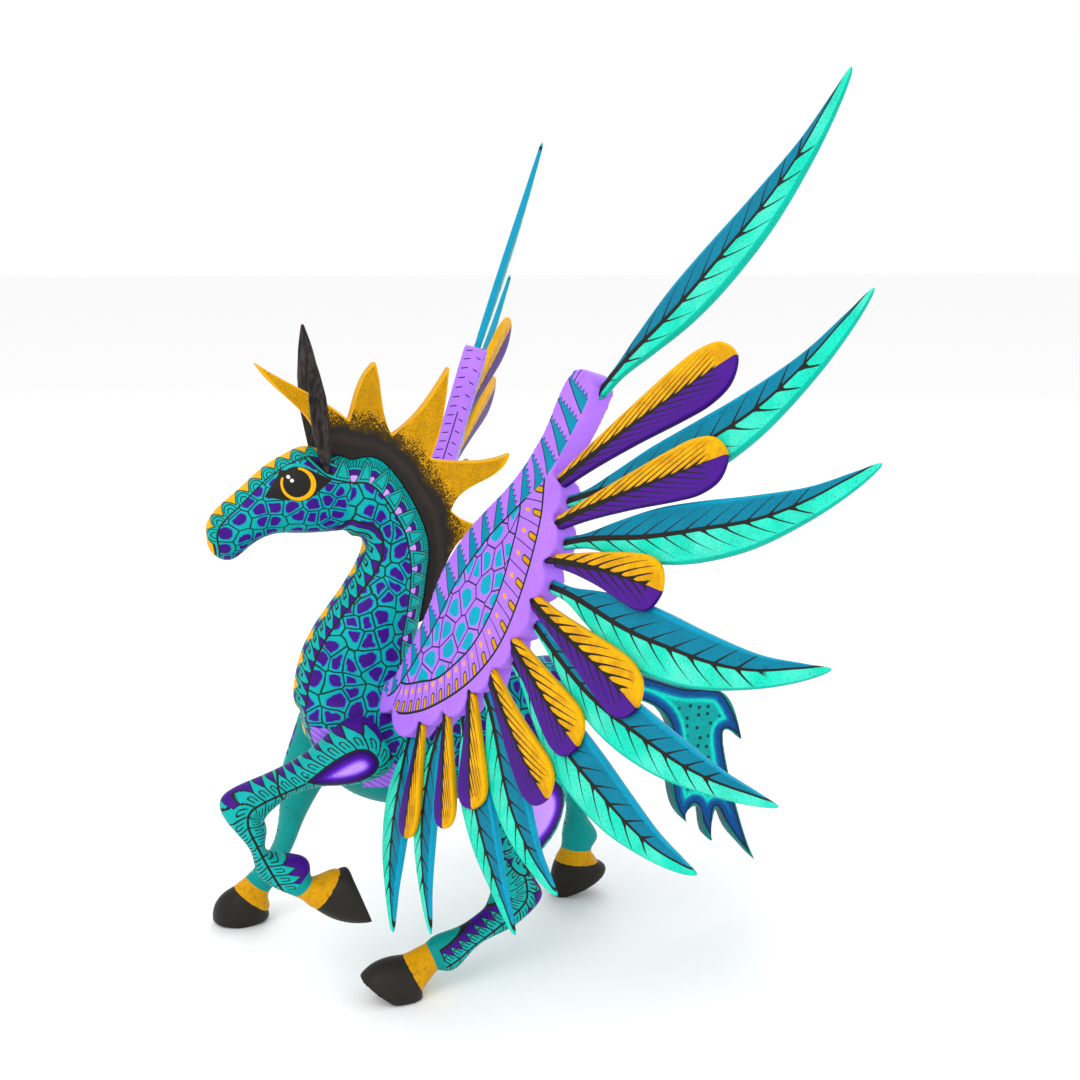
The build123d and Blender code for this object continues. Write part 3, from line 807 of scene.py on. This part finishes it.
# ---- wings
WING_THICKNESS = 10.5
WING_ROOT = np.array((24.3, 113.5, 120.9))
WING_OUT = np.array((0.884, 0.188, -0.429))
WING_FRONT = np.array((0.322, -0.909, 0.266))
WING_OUT = WING_OUT / np.linalg.norm(WING_OUT)
WING_ALONG = np.cross(WING_FRONT, WING_OUT)
WING_ALONG = WING_ALONG / np.linalg.norm(WING_ALONG)
WING_FRONT = np.cross(WING_OUT, WING_ALONG)
# lines painted on the wing, (out, along), from the foot to the arm
LEAD_LINE = [
    (-8, -3), (-3, 1), (0, 6), (1, 13), (2, 22), (2.2, 30), (2.3, 45), (1.3, 60), (3, 75), (6, 89),
    (10, 100), (14, 111), (17.5, 121), (18.5, 140), (17.5, 158),
]
LEADING_EDGE = [
    (-11, -8.5), (-10, -2), (-5, 12), (-5.5, 25), (-6.5, 40), (-10, 58), (-9.5, 72), (-5, 91),
    (1, 108), (3.5, 122), (3.5, 136), (1, 150), (2, 159),
]
OUTER_ARC = [
    (4, 0), (10, 3), (17, 9.5), (24, 18), (33, 33), (38.5, 47), (40.8, 62), (38.5, 78), (33, 95),
    (26, 110), (17.5, 121),
]
PANEL_SPACING = ([0, 45, 72, 100, 160], [5.0, 5.6, 8.4, 9.2, 9.2])  # at distances along the outer arc
INNER_ARC = [
    (0, 11), (5, 14), (12, 21), (18, 27), (22, 34), (27.5, 50), (28, 65), (25, 80), (19, 95), (15, 103),
    (11, 108),
]
LONG_FEATHERS = [  # root, two guides and tip (out, along); greatest breadth; barb spacing; barb slant
    ((15.5, 158.5), (24, 194), (51.5, 243.5), (44, 296), 18.5, 10.5, 1.5),
    ((29.5, 120), (54, 143.5), (96, 186.5), (101, 246), 20, 11.0, 1.2),
    ((38.5, 107.5), (69.5, 135), (117, 160), (139.7, 207.5), 20.5, 9.5, 1.7),
    ((44.5, 92.5), (78, 106), (125, 110), (165.5, 151.5), 22, 10.5, 1.4),
    ((47.5, 77), (88, 75), (134, 84), (177.5, 108.5), 18.5, 10.0, 1.4),
    ((47.5, 60), (80, 56.5), (130, 52.8), (167, 70.5), 20.5, 10.0, 1.3),
    ((43, 40.5), (62, 36), (85, 14), (124, 18), 19.5, 9.5, 1.3),
    ((38.5, 25), (54, 15), (78, 1), (117.5, -8), 17.5, 9.5, 1.4),
    ((30, 12.5), (35, -5), (50.5, -28), (82, -45), 14, 9.0, 1.6),
    ((16.5, -3), (24, -19), (36.5, -43), (63.8, -63), 16.5, 9.0, 1.6),
]
RIGHT_LAST_FEATHER = ((16.5, -3), (22, -15), (32, -31), (49, -47), 14, 9.0, 1.6)
SHORT_FEATHERS = [
    ((23.6, 124), (36, 150), (52, 176.5), (68.5, 203.5), 21, 6.4, 3.0),
    ((34, 113), (51, 136), (70, 156), (88, 177), 19.5, 6.0, 2.8),
    ((43, 102.5), (60, 113), (77, 121), (94.5, 127), 19, 6.4, 2.0),
    ((43, 84.5), (65, 86), (90, 92), (112.5, 92), 20, 6.8, 1.8),
    ((41.5, 66), (60, 66.5), (80, 63), (99, 63.5), 19.5, 6.4, 2.2),
    ((40, 50.5), (60, 45.5), (80, 41), (99.5, 40), 18.5, 6.0, 2.8),
    ((38.5, 36.5), (50, 28), (60, 17), (70.5, 8), 17, 6.0, 3.4),
    ((32, 21), (43, 11), (53, 1), (62.5, -9.5), 13, 6.0, 4.5),
    ((22, 8), (31, -5), (39, -17), (46.5, -29.5), 12.5, 6.0, 4.5),
]
LONG_SHAPE = [
    (0.0, 0.22), (0.1, 0.28), (0.22, 0.6), (0.36, 0.93), (0.5, 1.0), (0.66, 0.84), (0.82, 0.5),
    (0.94, 0.24),
]
SHORT_SHAPE = [(0.0, 0.26), (0.2, 0.42), (0.45, 0.66), (0.7, 0.93), (0.84, 1.0), (0.95, 0.74)]
FEATHER_THICKNESS = 3.0
# depth of the long and the short feathers, behind the board's front face
DEPTHS = {"left": (5.7, 2.5), "right": (4.8, 8.0)}
# backward lean of the right wing's top short feathers, per mm outward
RIGHT_SHORT_TILTS = (0.2, 0.12, 0.08)
FEATHER_ROOTS = 36.0  # how far out the feathers' roots lie, on average
QUILL_RADIUS = 1.4
QUILL_STATIONS = (-5.8, -2.9, 0.0, 2.0)  # along the quill, from inside the wing board


def wing_place(out, along, depth, side, tilt=0.0):
    """Scene position of a place on a wing, in metres. A tilted feather turns about the roots' line."""
    outward = (WING_OUT - WING_FRONT * tilt) / math.hypot(1.0, tilt)
    origin = WING_ROOT - WING_FRONT * (depth - tilt * FEATHER_ROOTS)
    point = origin + outward * out + WING_ALONG * along
    return point[0] * side * MM, (point[1] - MID_BACK) * MM, point[2] * MM


def panels_along(along):
    """How many painted panels come before a place on the outer arc, and how long a panel is there."""
    stops = np.linspace(0, 160, 321)
    spacing = np.interp(stops, *PANEL_SPACING)
    counts = np.concatenate([[0], np.cumsum(np.diff(stops) / spacing[:-1])])
    return np.interp(along, stops, counts), np.interp(along, *PANEL_SPACING)


def make_wing(side_name, side):
    piece = carved(f"wing_{side_name}", f"wing_{side_name}_carving", 0.75, 3)
    places = vertex_places(piece) * (side, 1, 1)
    normals = vertex_normals(piece) * (side, 1, 1)
    local = places - WING_ROOT
    out, along, front = local @ WING_OUT, local @ WING_ALONG, local @ WING_FRONT
    flat = np.column_stack([out, along])
    lead_along, lead_off = beside_line(flat, smooth_line(LEAD_LINE))
    _, rim = beside_line(flat, smooth_line(LEADING_EDGE))
    lead_share = np.abs(lead_off) / (np.abs(lead_off) + np.abs(rim) + 0.01)
    outer_along, outer_off = beside_line(flat, smooth_line(OUTER_ARC))
    _, inner_off = beside_line(flat, smooth_line(INNER_ARC))
    store(piece, "plate", out, along, front)
    store(piece, "lead", lead_along, lead_off, lead_share)
    store(piece, "arcs", outer_off, inner_off)
    store(piece, "panels", *panels_along(outer_along))
    store(piece, "facing", np.abs(normals @ WING_FRONT), normals @ WING_OUT)
    return piece


def lay_steps(coat, mask, along, off, share):
    """Teal wedges with stepped upper sides, each beside a line that slants across the leading band."""
    pitch, slant = 8.8, 7.4
    slanted = repeat(along - share * slant, pitch)
    above = slanted + pitch / 2  # over the slanted line
    steps = abs(repeat(off, 2.4)) * 1.6 - 0.9
    top = steps + 6.4 - share * 5.6
    coat.lay(STEP_TEAL, mask & over(top - above, 0.0))
    coat.lay(LINE, mask & (stroke(top - above, 0.5) | stroke(pitch / 2 - abs(slanted), 0.55)))


def lay_wing_cells(coat, mask, out, along):
    where = coat.vector(out, along * 0.78, 0.0)
    edge = coat.cells(where, 0.132, 0.8, "DISTANCE_TO_EDGE")
    heart = coat.cells(where, 0.132, 0.8, "F1")
    wobble = (coat.noise(0.4, 1.0) - 0.5) * 1.2
    inset = calc("SMOOTH_MIN", edge - 1.05, 3.4 - heart, 0.8) + wobble
    coat.lay(LAGOON, mask & over(inset, 0.0, 0.2))
    coat.lay(LINE, mask & under(edge, 0.26, 0.16))


def lay_panels(coat, mask, outer_off, panel, spacing):
    """Panels round the outer band, each with a gold arch and a gold dot."""
    near = (calc("FRACT", panel - outer_off * 0.25 / spacing) - 0.5) * spacing
    coat.lay(LINE, mask & stroke(spacing * 0.5 - abs(near), 0.45))
    arch = hypot(near, calc("MAXIMUM", outer_off - 3.9, 0.0))
    half = spacing * 0.07 + 0.85
    coat.lay(LINE, mask & under(arch, half))
    coat.lay(GOLD, mask & under(arch, half - 0.55))
    coat.lay(rgb(232, 158, 26), mask & under(hypot(near, (outer_off - 8.4) * 0.8), 0.95))


def wing_paint():
    coat = Coat("wing_paint", LILAC)
    out, along, front = coat.coordinates("plate")
    lead_along, lead_off, lead_share = coat.coordinates("lead")
    outer_off, inner_off, _ = coat.coordinates("arcs")
    panel, spacing, _ = coat.coordinates("panels")
    facing, outward, _ = coat.coordinates("facing")
    face = over(facing, 0.72, 0.1) & over(along, 1.5)
    inside = face & under(lead_off, 0.0)
    lay_wing_cells(coat, inside & over(inner_off, 0.0), out, along)
    lay_panels(coat, inside & under(inner_off, 0.0) & over(outer_off, 0.0), outer_off, panel, spacing)
    coat.lay(LINE, inside & (stroke(outer_off, 1.0) | (stroke(inner_off, 0.9) & over(outer_off, 0.0))))
    lay_steps(coat, face & over(lead_off, 0.0), lead_along, lead_off, lead_share)
    coat.lay(LINE, face & stroke(lead_off, 0.8) & under(lead_along, 118.0))
    # the wall of the leading edge: a long line with short strokes on both sides of it
    wall = under(facing, 0.45, 0.1) & under(outward, -0.5, 0.1)
    across = front + WING_THICKNESS / 2
    coat.lay(LINE, wall & stroke(across + 0.4, 0.55) & under(along, 128.0))
    coat.lay(LINE, wall & stroke(repeat(along + across * 0.4, 4.6), 0.6) & between(across, 0.9, 3.8))
    coat.lay(LINE, wall & stroke(repeat(along - across * 0.3, 6.1), 0.6) & between(across, -3.9, -1.6))
    return coat.finish(speckle=0.12)


def centre_line(points, shares):
    """Points and unit directions along a feather's middle line."""
    p0, p1, p2, p3 = [np.array(p, float) for p in points]
    t = np.asarray(shares)[:, None]
    s = 1 - t
    spots = p0 * s**3 + p1 * 3 * s * s * t + p2 * 3 * s * t * t + p3 * t**3
    ways = (p1 - p0) * s * s + (p2 - p1) * 2 * s * t + (p3 - p2) * t * t
    return spots, ways / np.linalg.norm(ways, axis=1)[:, None]


def feather_edges(points, breadth, shape):
    """The feather's two edges as matched rows of points, from the root to the tip."""
    shares = [share for share, _ in shape]
    spots, ways = centre_line(points, shares)
    half_breadths = breadth / 2 * np.array([part for _, part in shape])
    across = np.column_stack([-ways[:, 1], ways[:, 0]]) * half_breadths[:, None]
    tip = np.array([points[3]], float)
    whole = smooth_line(np.vstack([spots + across, tip, (spots - across)[::-1]]), 8)
    half = len(shape) * 8
    return whole[:half + 1], whole[half:][::-1]


ROUND_STEPS = 3  # points in each rounded corner of a feather's section
FLAT_POINTS = 11
FINEST_HALF_BREADTH = 0.12
TIP_THINNING = 0.45  # share of the thickness lost toward the tip
CROWN = 0.18  # how far the front face swells in the middle
BARB_CURVE = 0.05  # how fast the barbs bend back, per mm from the shaft


def section(half_width, half_thick, crown):
    """Closed outline of a feather's section: (across, deep), starting on the front face."""
    corner = min(1.0, half_width * 0.8, half_thick * 0.8)
    flat = np.linspace(half_width - corner, corner - half_width, FLAT_POINTS)
    bulge = crown * (1 - (flat / max(half_width, 1e-6)) ** 2)
    front = [(x, half_thick + b) for x, b in zip(flat, bulge)]
    turns = [math.pi / 2 * (k + 1) / (ROUND_STEPS + 1) for k in range(ROUND_STEPS)]
    shelf = half_thick - corner
    left = [(corner - half_width - corner * math.sin(a), shelf + corner * math.cos(a)) for a in turns]
    low_left = [
        (corner - half_width - corner * math.cos(a), -shelf - corner * math.sin(a)) for a in turns
    ]
    back = [(-x, -half_thick) for x in flat]
    low_right = [
        (half_width - corner + corner * math.sin(a), -shelf - corner * math.cos(a)) for a in turns
    ]
    right = [(half_width - corner + corner * math.cos(a), shelf + corner * math.sin(a)) for a in turns]
    return front + left + low_left + back + low_right + right


class Rings:
    """The rings of a feather's mesh, with what its paint reads at every vertex."""

    def __init__(self, side, depth, tilt):
        self.side = side
        self.depth = depth
        self.tilt = tilt
        self.rows = []
        self.vane = []  # share of the length, share of the half breadth, half breadth
        self.barb = []  # barbs passed, distance from the middle, distance from the root

    def add(self, point, deep, vane, barb):
        self.rows.append(wing_place(*point, self.depth - deep, self.side, self.tilt))
        self.vane.append(vane)
        self.barb.append(barb)


def add_quill(rings, root, way, ring):
    """The round quill, from inside the wing board to the root of the blade."""
    sideways = np.array([-way[1], way[0]])
    for reach in QUILL_STATIONS:
        middle = root + way * reach
        for k in range(ring):
            angle = 2 * math.pi * (k + 0.5 - FLAT_POINTS / 2) / ring + math.pi / 2
            point = middle + sideways * math.cos(angle) * QUILL_RADIUS
            deep = math.sin(angle) * QUILL_RADIUS
            rings.add(point, deep, (0.0, math.cos(angle), QUILL_RADIUS), (-1.0, 0.0, 0.0))
    return sideways


def add_blade(rings, left, right, sideways, spacing, slant):
    """The flat blade, which thins toward its tip."""
    spots = (left + right) / 2
    lengths = np.concatenate([[0], np.cumsum(np.hypot(*np.diff(spots, axis=0).T))])
    lengths[-1] = max(lengths[-1], lengths[-2] + 0.01)
    for i, spot in enumerate(spots):
        across = left[i] - right[i]
        breadth = float(np.hypot(*across))
        half = max(breadth / 2, FINEST_HALF_BREADTH)
        if breadth > 0.3:
            sideways = across / (2 * half)
        share = lengths[i] / lengths[-1]
        thin = 1 - TIP_THINNING * max(0.0, (share - 0.55) / 0.45) ** 2
        widest = max(half, 0.35) if share > 0.5 else FEATHER_THICKNESS
        half_thick = min(FEATHER_THICKNESS / 2 * thin, widest)
        for x, deep in section(half, half_thick, CROWN if half > 3 else 0.0):
            a = abs(x)
            passed = (lengths[i] - slant * a - BARB_CURVE * a * a) / spacing
            rings.add(spot + sideways * x, deep, (share, x / half, half), (passed, a, lengths[i]))


def make_feather(name, side, spec, shape, depth, tilt):
    """A feather board with rounded edges, thinning to its tip, and its round quill."""
    *points, breadth, spacing, slant = spec
    left, right = feather_edges(points, breadth, shape)
    root, way = centre_line(points, [0.0])
    ring = len(section(1, 1, 0))
    rings = Rings(side, depth, tilt)
    sideways = add_quill(rings, root[0], way[0], ring)
    add_blade(rings, left, right, sideways, spacing, slant)
    stations = len(QUILL_STATIONS) + len(left)
    piece = new_piece(name, rings.rows, tube_faces(stations, ring, side < 0))
    store(piece, "vane", *np.array(rings.vane).T)
    store(piece, "barb", *np.array(rings.barb).T)
    return piece


def lay_barbs(coat, phase, reach, half, root, taper, mask):
    """Dark strokes that leave the shaft thick and thin out toward the feather's edge."""
    near = abs(calc("FRACT", phase) - 0.5)
    flare = (root - reach * taper) | (root * 2.0 - reach * root)
    blade = calc("MAXIMUM", flare, 0.0)
    coat.lay(LINE, mask & under(near, blade, 0.025) & under(reach - half * 0.86, 0.0, 0.6))


def long_paint():
    coat = Coat("long_feather_paint", MINT)
    share, across, half = coat.coordinates("vane")
    phase, reach, length = coat.coordinates("barb")
    sway = calc("SINE", length * 0.11) * 0.35
    split = across * half - share * share * 0.9 - sway
    tone = coat.noise(0.08, 1.0)
    coat.lay(rgb(108, 224, 200), over(tone, 0.55, 0.3) * 0.6)
    coat.lay(FEATHER_BLUE, over(split, 0.0, 0.15))
    coat.lay(rgb(0, 112, 142), over(split, 0.0, 0.15) & over(tone, 0.5, 0.25) * 0.5)
    coat.lay(rgb(0, 152, 188), over(across, 0.84, 0.1) * 0.8)
    # darker mint on the lower edge wall: partly its paint, partly painted shade
    coat.lay(WALL_MINT_AND_SHADE, under(across, -0.90, 0.06))
    barbed = between(share, 0.05, 0.82, 0.02) & under(reach, 9.5, 1.0)
    lay_barbs(coat, phase, reach, half, 0.085, 0.010, barbed)
    shaft = calc("MAXIMUM", 1.15 - share * 0.88, 0.26)
    coat.lay(LINE, under(abs(split) - shaft, 0.0, 0.15) & under(share, 0.985, 0.01))
    return coat.finish(speckle=0.45)


def short_paint():
    coat = Coat("short_feather_paint", rgb(78, 43, 134))
    share, across, half = coat.coordinates("vane")
    phase, reach, _ = coat.coordinates("barb")
    signed = across * half
    warm = coat.noise(0.2, 2.0)
    coat.lay(GOLD, over(signed, 0.0, 0.15))
    coat.lay(BRIGHT_GOLD, over(signed, 0.3, 0.15) & (over(warm, 0.5, 0.2) | over(across, 0.82, 0.1)))
    # darker purple on the lower edge wall: partly its paint, partly painted shade
    coat.lay(rgb(58, 28, 112), under(across, -0.93, 0.05))
    lay_barbs(coat, phase, reach, half, 0.17, 0.018, between(share, 0.03, 0.9, 0.03))
    shaft = calc("MAXIMUM", 1.35 - share * 1.35, 0.12)
    coat.lay(LINE, under(abs(signed + 0.3) - shaft, 0.0, 0.15))
    return coat.finish(speckle=0.3)


# ---- wood that shows only where pieces are pegged
def wood_paint():
    coat = Coat("bare_wood_grain", BARE_WOOD)
    source = coat.tree.nodes.new("ShaderNodeNewGeometry")
    stretch = coat.tree.nodes.new("ShaderNodeMapping")
    stretch.inputs["Scale"].default_value = (120, 900, 900)
    coat.tree.links.new(source.outputs["Position"], stretch.inputs["Vector"])
    grain = coat.noise(1.0, 3.0, stretch.outputs[0])
    coat.lay(rgb(160, 112, 62), over(grain, 0.52, 0.2))
    coat.set_input(coat.shader.inputs["Base Color"], coat.colour)
    coat.set_input(coat.shader.inputs["Roughness"], grain * 0.2 + 0.55)
    return coat.material


# ---- making the figure
def make_feathers(kind, side_name, specs, shape, depth, tilts, material):
    side = 1 if side_name == "left" else -1
    for number, spec in enumerate(specs, start=1):
        tilt = tilts[number - 1] if number <= len(tilts) else 0.0
        node = f"{kind}_feather_{side_name}_{number:02d}"
        piece = make_feather(f"{node}_vane", side, spec, shape, depth, tilt)
        done(piece, f"{side_name}_wing", f"{kind}_feather_paint", material, node)


def make_sides():
    """What the figure has on each side of its head and shoulders: an ear, a wing and its feathers."""
    ears = ear_paint()
    wings = wing_paint()
    long_feathers = long_paint()
    short_feathers = short_paint()
    long_specs = {"left": LONG_FEATHERS, "right": [*LONG_FEATHERS[:-1], RIGHT_LAST_FEATHER]}
    tilts = {"left": (), "right": RIGHT_SHORT_TILTS}
    for name, side in (("left", 1), ("right", -1)):
        ear = make_ear(f"ear_{name}_leaf", *EARS[name])
        done(ear, f"{name}_ear", "ear_paint", ears, f"ear_{name}")
        done(make_wing(name, side), f"{name}_wing", "wing_paint", wings, f"wing_{name}")
        long_depth, short_depth = DEPTHS[name]
        make_feathers("long", name, long_specs[name], LONG_SHAPE, long_depth, (), long_feathers)
        make_feathers(
            "short", name, SHORT_FEATHERS, SHORT_SHAPE, short_depth, tilts[name], short_feathers
        )


def make_figure():
    done(make_body(), "figure", "scale_paint", body_paint(), "body")
    legs = leg_paint()
    for leg in LEGS:
        done(make_leg(leg), "figure", "scale_paint", legs, leg.node)
    done(make_mane(), "figure", "mane_paint", mane_paint(), "mane_crest")
    done(make_tail(), "tail_piece", "tail_paint", tail_paint(), "tail")
    make_sides()
    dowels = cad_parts["leg_dowels"]
    dowels.data.materials.clear()
    dowels.data.materials.append(wood_paint())


# ---- studio
FLOOR_REACH = 30.0  # metres
CAMERA_PLACE = (0.600, -0.1665, 0.2964)
CAMERA_DIRECTION = (-0.9394, 0.290, -0.1829)


def aim(thing, position, target):
    thing.location = position
    thing.rotation_euler = (Vector(target) - Vector(position)).to_track_quat("-Z", "Y").to_euler()


def make_camera():
    camera = bpy.data.objects.new("Camera", bpy.data.cameras.new("Camera"))
    bpy.context.scene.collection.objects.link(camera)
    camera.data.lens = 50
    camera.data.sensor_width = 36
    camera.data.clip_start = 0.01
    position = Vector(CAMERA_PLACE)
    aim(camera, position, position + Vector(CAMERA_DIRECTION))
    bpy.context.scene.camera = camera


def make_light(name, position, target, size, power):
    light = bpy.data.objects.new(name, bpy.data.lights.new(name, "AREA"))
    bpy.context.scene.collection.objects.link(light)
    light.data.size = size
    light.data.energy = power
    aim(light, position, target)


def make_studio():
    corners = [(x * FLOOR_REACH, y * FLOOR_REACH, 0) for x, y in ((-1, -1), (1, -1), (1, 1), (-1, 1))]
    floor = new_piece("floor", corners, [(0, 1, 2, 3)])
    coat = Coat("floor_paper", rgb(250, 250, 250))
    coat.shader.inputs["Base Color"].default_value = rgb(250, 250, 250)
    coat.shader.inputs["Roughness"].default_value = 0.9
    floor.data.materials.append(coat.material)
    middle = (0, 0, 0.15)
    make_light("key", (1.3, -1.2, 1.6), middle, 1.4, 20)
    make_light("fill", (1.5, 1.0, 0.7), middle, 1.6, 6)
    make_light("back", (-1.4, 0.6, 1.5), middle, 1.4, 9)
    world = bpy.data.worlds.new("World")
    bpy.context.scene.world = world
    world.use_nodes = True
    world.node_tree.nodes["Background"].inputs["Color"].default_value = (1, 1, 1, 1)
    world.node_tree.nodes["Background"].inputs["Strength"].default_value = 1.0


bpy.context.scene.view_settings.view_transform = "Standard"
make_camera()
make_studio()
make_figure()
